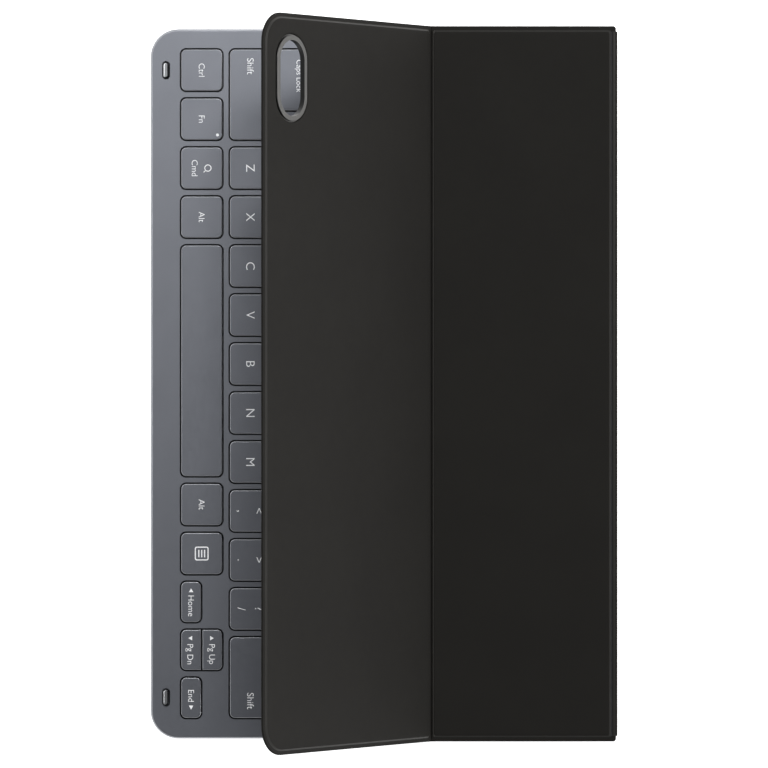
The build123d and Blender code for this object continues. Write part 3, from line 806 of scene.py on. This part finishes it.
# ---------------------------------------------------------------- key legends
INK_HALF = 0.012  # half thickness of the printed layer
SMALL = 2.12  # capital heights: words in the front rows
SMALLEST = 1.9  # words on Caps Lock and the function keys
SHIFT = 2.35
PAIR = 2.7  # two marks, one above the other, in the rear rows
PAIR_FRONT = 2.9  # and in the front rows
LARGE = 3.1  # letters
THINNER = 0.010  # how far a letter's outline moves in, as a share of its capital height
CIRCLE_STEPS = 28
ARROW = 0.82  # half height of an arrow
ARROW_REACH = 0.85 * ARROW  # and half its length
PAIR_UP = 3.1  # how far the upper mark of a pair stands above the key's middle
SHIFT_INSET = 3.15  # from the key's outer end to the word
LIST_SYMBOL = 2.5  # half size of the list symbol's frame
LIST_STROKE = 0.4


def glyph_curve(kind):
    """Empty flat curve as thick as the printed layer."""
    curve = bpy.data.curves.new("legend_source", kind)
    curve.dimensions = "2D"
    curve.fill_mode = "BOTH"
    curve.extrude = INK_HALF * MM
    return curve


def curve_mesh(curve):
    """Mesh of a filled curve, which is then removed."""
    source = bpy.data.objects.new("legend_source", curve)
    SCENE.collection.objects.link(source)
    graph = bpy.context.evaluated_depsgraph_get()
    mesh = bpy.data.meshes.new_from_object(source.evaluated_get(graph))
    bpy.data.objects.remove(source)
    bpy.data.curves.remove(curve)
    return mesh


def text_mesh(text, capital):
    """Mesh of a text in the built-in font; capital is the height of its capitals in millimetres."""
    curve = glyph_curve("FONT")
    curve.body = text
    curve.size = capital * MM / CAPITAL_SHARE
    curve.offset = -capital * THINNER * MM
    return curve_mesh(curve)


def capital_share():
    """Height of a capital letter in the built-in font, for a size of one."""
    curve = bpy.data.curves.new("legend_source", "FONT")
    curve.body = "H"
    mesh = curve_mesh(curve)
    heights = [v.co.y for v in mesh.vertices]
    bpy.data.meshes.remove(mesh)
    return max(heights) - min(heights)


def outline_mesh(outlines):
    """Filled shape from closed outlines in millimetres; an outline inside another is a hole."""
    curve = glyph_curve("CURVE")
    for outline in outlines:
        spline = curve.splines.new("POLY")
        spline.points.add(len(outline) - 1)
        for point, (x, y) in zip(spline.points, outline):
            point.co = (x * MM, y * MM, 0, 1)
        spline.use_cyclic_u = True
    return curve_mesh(curve)


def circle(radius):
    """Outline of a circle about the origin."""
    turns = [2 * math.pi * i / CIRCLE_STEPS for i in range(CIRCLE_STEPS)]
    return [(radius * math.cos(turn), radius * math.sin(turn)) for turn in turns]


def bar(x0, y0, x1, y1, width):
    """Outline of a straight stroke with square ends."""
    along = Vector((x1 - x0, y1 - y0)).normalized()
    side = Vector((-along.y, along.x)) * width / 2
    return [(x0 + side.x, y0 + side.y), (x0 - side.x, y0 - side.y), (x1 - side.x, y1 - side.y),
            (x1 + side.x, y1 + side.y)]


class Legend:
    """Collects the printed marks of the keys on one body into one mesh."""

    def __init__(self, node):
        self.node = node
        self.bm = bmesh.new()
        self.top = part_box(node)[1].z

    def stamp(self, mesh, x, y):
        """Adds a mesh whose origin goes to (x, y) in millimetres."""
        before = len(self.bm.verts)
        self.bm.from_mesh(mesh)
        self.bm.verts.ensure_lookup_table()
        shift = Vector((x * MM, y * MM, self.top))
        for vertex in self.bm.verts[before:]:
            vertex.co += shift
        bpy.data.meshes.remove(mesh)

    def text(self, text, x, y, capital=SMALL, anchor=0.5):
        """Text with its baseline at y - capital / 2, so that capitals are centred on y. anchor 0 starts at x,
        0.5 centres on it and 1 ends there."""
        mesh = text_mesh(text, capital)
        xs = [v.co.x / MM for v in mesh.vertices]
        start = min(xs) + (max(xs) - min(xs)) * anchor
        self.stamp(mesh, x - start, y - capital / 2)

    def shape(self, x, y, *outlines):
        self.stamp(outline_mesh(outlines), x, y)

    def finish(self, ink):
        finish_mesh("legend_" + self.node, self.bm, ink, self.node, sharp=30)


def middle_of(low, high):
    """Middle of a box, seen from above, in millimetres."""
    return (low.x + high.x) / 2 / MM, (low.y + high.y) / 2 / MM


def arrow(direction):
    """Small triangle that points left, right, up or down."""
    outline = [(-ARROW_REACH, 0.0), (ARROW_REACH, -ARROW), (ARROW_REACH, ARROW)]
    turns = {"left": 0, "down": 90, "right": 180, "up": 270}
    angle = math.radians(turns[direction])
    c, s = math.cos(angle), math.sin(angle)
    return [(x * c - y * s, x * s + y * c) for x, y in outline]


def word_key(node, ink, text, capital=SMALL, left=0):
    """A key with one word in its middle, or that far left of it."""
    legend = Legend(node)
    x, y = middle_of(*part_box(node))
    legend.text(text, x - left, y, capital)
    legend.finish(ink)


def mark_pair(legend, upper, lower, x, y, capital, down):
    """Two marks, one above the other."""
    legend.text(upper, x, y + PAIR_UP, capital=capital)
    legend.text(lower, x, y - down, capital=capital)


def plain_word_keys(ink):
    for node, text in (("key_ctrl", "Ctrl"), ("key_alt_left", "Alt"), ("key_alt_right", "Alt"),
                       ("key_enter", "Enter"), ("key_tab", "Tab")):
        word_key(node, ink, text)
    word_key("key_caps", ink, "Caps Lock", SMALLEST, left=1.4)
    word_key("key_backspace", ink, "Back")
    for letter in "zxcvbnm":
        word_key("key_" + letter, ink, letter.upper(), LARGE)


def modifier_keys(ink):
    """Fn with its corner dot, Cmd under a magnifier, the two Shifts and a plain list symbol."""
    legend = Legend("key_fn")
    x, y = middle_of(*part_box("key_fn"))
    legend.text("Fn", x, y)
    legend.shape(x + 5.74, y + 5.69, circle(0.55))
    legend.finish(ink)

    legend = Legend("key_cmd")
    x, y = middle_of(*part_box("key_cmd"))
    legend.text("Cmd", x, y - 2.53)
    legend.shape(x, y + 2.25, circle(1.30), circle(0.97))
    legend.shape(x, y + 2.25, bar(0.80, -0.80, 1.52, -1.52, 0.34))
    legend.finish(ink)

    for node, side, anchor in (("key_shift_left", 0, 0.0), ("key_shift_right", 1, 1.0)):
        legend = Legend(node)
        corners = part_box(node)
        inset = SHIFT_INSET if side == 0 else -SHIFT_INSET
        legend.text("Shift", corners[side].x / MM + inset, middle_of(*corners)[1], SHIFT, anchor)
        legend.finish(ink)

    legend = Legend("key_menu")
    x, y = middle_of(*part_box("key_menu"))
    outer, inner = LIST_SYMBOL, LIST_SYMBOL - LIST_STROKE
    legend.shape(x, y, rounded_ring((-outer, outer, -outer, outer), (0.7, 0.7), 0.0, steps=5),
                 rounded_ring((-inner, inner, -inner, inner), (0.4, 0.4), 0.0, steps=5))
    for offset in (-1.05, 0.0, 1.05):
        legend.shape(x, y, bar(-1.35, offset, 1.35, offset, 0.42))
    legend.finish(ink)


def arrow_keys(ink):
    """Half-height keys: an arrow beside a word."""
    for node, direction, text, arrow_x, text_x, anchor, lift in (
            ("key_left", "left", "Home", -4.25, -2.33, 0.0, 0.0),
            ("key_up", "up", "Pg Up", -4.25, -2.05, 0.0, -0.1),
            ("key_down", "down", "Pg Dn", -4.25, -2.05, 0.0, -0.3),
            ("key_right", "right", "End", 3.5, 1.4, 1.0, 0.0)):
        legend = Legend(node)
        x, y = middle_of(*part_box(node))
        legend.shape(x + arrow_x, y + lift, arrow(direction))
        legend.text(text, x + text_x, y + lift, anchor=anchor)
        legend.finish(ink)


def punctuation_keys(ink):
    """Two symbols, one above the other."""
    for node, upper, lower in (("key_comma", "<", ","), ("key_period", ">", "."), ("key_slash", "?", "/")):
        legend = Legend(node)
        x, y = middle_of(*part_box(node))
        mark_pair(legend, upper, lower, x, y, PAIR_FRONT, 3.2)
        legend.finish(ink)


def row_keys(ink):
    """Letters, numbers and function keys of the four rear rows."""
    rows = {
        "keys_home_row": ["A", "S", "D", "F", "G", "H", "J", "K", "L", ":;", "\"'"],
        "keys_qwerty_row": ["Q", "W", "E", "R", "T", "Y", "U", "I", "O", "P", "{[", "}]", "|\\"],
        "keys_number_row": ["~`", "!1", "@2", "#3", "$4", "%5", "^6", "&7", "*8", "(9", ")0", "_-", "+="],
        "keys_function_row": ["Esc", *[f"F{n}" for n in range(1, 13)], "Del"],
    }
    for node, marks in rows.items():
        legend = Legend(node)
        for mark, keycap in zip(marks, islands(node), strict=True):
            x, y = middle_of(*keycap.corners())
            if len(mark) == 1:
                legend.text(mark, x, y, capital=LARGE)
            elif node == "keys_function_row":
                legend.text(mark, x, y, capital=SMALLEST)
            else:
                mark_pair(legend, mark[0], mark[1], x, y, PAIR, 3.0)
        legend.finish(ink)


# ---------------------------------------------------------------- stage
CAMERA_PLACE = (0.00008, 0.00015, 2.026)  # in metres
LENS = 261.85
SENSOR = 36.0
AIM = (0, 0, 0.02)  # what the lights point at, in metres
TABLE_REACH = 4.0  # from the middle of the table to its edge, in metres
TABLE_DROP = 0.3  # the table lies a little under the object, so that the two faces don't meet
WALLS = (0.82, 0.82, 0.82, 1)
CEILING = (0.05, 0.05, 0.05, 1)


def camera():
    """Straight down over the middle of the object, with -X at the top of the picture."""
    data = bpy.data.cameras.new("camera")
    data.lens = LENS
    data.sensor_width = SENSOR
    data.clip_end = 20.0
    made = bpy.data.objects.new("camera", data)
    made.matrix_world = Matrix.Translation(CAMERA_PLACE) @ Matrix.Rotation(math.pi / 2, 4, "Z")
    SCENE.collection.objects.link(made)
    SCENE.camera = made


def area_light(name, place, size, power):
    """Softbox of that width and height, in metres, aimed at the object."""
    data = bpy.data.lights.new(name, "AREA")
    data.shape = "RECTANGLE"
    data.size, data.size_y = size
    data.energy = power
    made = bpy.data.objects.new(name, data)
    made.location = place
    made.rotation_euler = (Vector(AIM) - Vector(place)).to_track_quat("-Z", "Y").to_euler()
    SCENE.collection.objects.link(made)


def sky():
    """Studio surroundings: pale walls, dark ceiling, so that level satin faces reflect little but the lights."""
    world = bpy.data.worlds.new("studio")
    world.use_nodes = True
    tree = world.node_tree
    background = tree.nodes["Background"]
    background.inputs["Strength"].default_value = 0.8
    place = tree.nodes.new("ShaderNodeTexCoord")
    split = tree.nodes.new("ShaderNodeSeparateXYZ")
    ramp = tree.nodes.new("ShaderNodeValToRGB")
    tree.links.new(place.outputs["Generated"], split.inputs["Vector"])
    tree.links.new(split.outputs["Z"], ramp.inputs["Fac"])
    tree.links.new(ramp.outputs["Color"], background.inputs["Color"])
    walls, ceiling = ramp.color_ramp.elements
    walls.position, ceiling.position = 0.25, 0.85
    walls.color, ceiling.color = WALLS, CEILING
    SCENE.world = world


def studio():
    """Pale table; small softboxes over the keyboard's left end and from the front, and a wide, low one behind the
    cover."""
    floor = bpy.data.meshes.new("table")
    corners = ((-1, -1), (1, -1), (1, 1), (-1, 1))
    floor.from_pydata([(x * TABLE_REACH, y * TABLE_REACH, 0) for x, y in corners], [], [(0, 1, 2, 3)])
    floor.materials.append(table_top())
    table = bpy.data.objects.new("table", floor)
    table.location = (0, 0, -TABLE_DROP * MM)
    SCENE.collection.objects.link(table)
    area_light("light_left_end", (-0.50, 0.085, 1.05), size=(0.30, 0.18), power=6.9)
    area_light("light_front", (-0.22, -0.48, 1.00), size=(0.7, 0.30), power=4.1)
    area_light("light_rear", (0.0, 1.3, 0.45), size=(1.0, 0.5), power=16.5)
    sky()
    SCENE.view_settings.view_transform = "Standard"


# ---------------------------------------------------------------- put together
def dress_hard_parts():
    """Materials of the CAD nodes that show as they are."""
    keys = [name for name in NODES if name.startswith("key")]
    dress(deck_paint(), ["deck_frame"])
    dress(key_paint(), keys)
    dress(ring_metal(), ["camera_ring"])
    dress(bumper_rubber(), ["bumpers"])
    dress(dark_plastic(), ["dock_rail", "pogo_housing"])
    dress(contact_gold(), ["pogo_pins"])
    dress(sheet_metal(), ["support_plate", "base_magnets", "lower_magnets", "upper_magnets"])
    dress(contact_film(), ["switch_membrane", "flex_cables"])
    dress(circuit_board(), ["controller_board"])
    dress(fibre_board(), ["upper_stiffener", "lower_stiffener", "spine_stiffener"])


camera()
studio()
dress_hard_parts()
LEATHER = cover_leather()
UPPER_STEP_HIGHLIGHT = step_highlight_leather("pressed_leather_upper", shade=0.027, crease_painted_light=0.027)
LOWER_STEP_HIGHLIGHT = step_highlight_leather("pressed_leather_lower", shade=0.020, crease_painted_light=0.050)
SUEDE = lining_suede()
INK = legend_ink()
CAPITAL_SHARE = capital_share()
upper_cover(LEATHER, SUEDE, UPPER_STEP_HIGHLIGHT)
lower_cover(LEATHER, SUEDE, LOWER_STEP_HIGHLIGHT)
mid_crease(LEATHER, SUEDE)
spine(LEATHER, SUEDE)
cover_crease(LEATHER, SUEDE, LOWER_STEP_HIGHLIGHT)
base_crease(LEATHER)
underside(LEATHER)
switch_parts("rubber_domes", pale_silicone())
switch_parts("scissor_links", link_acetal())
switch_parts("stabiliser_wires", sheet_metal())
plain_word_keys(INK)
modifier_keys(INK)
arrow_keys(INK)
punctuation_keys(INK)
row_keys(INK)
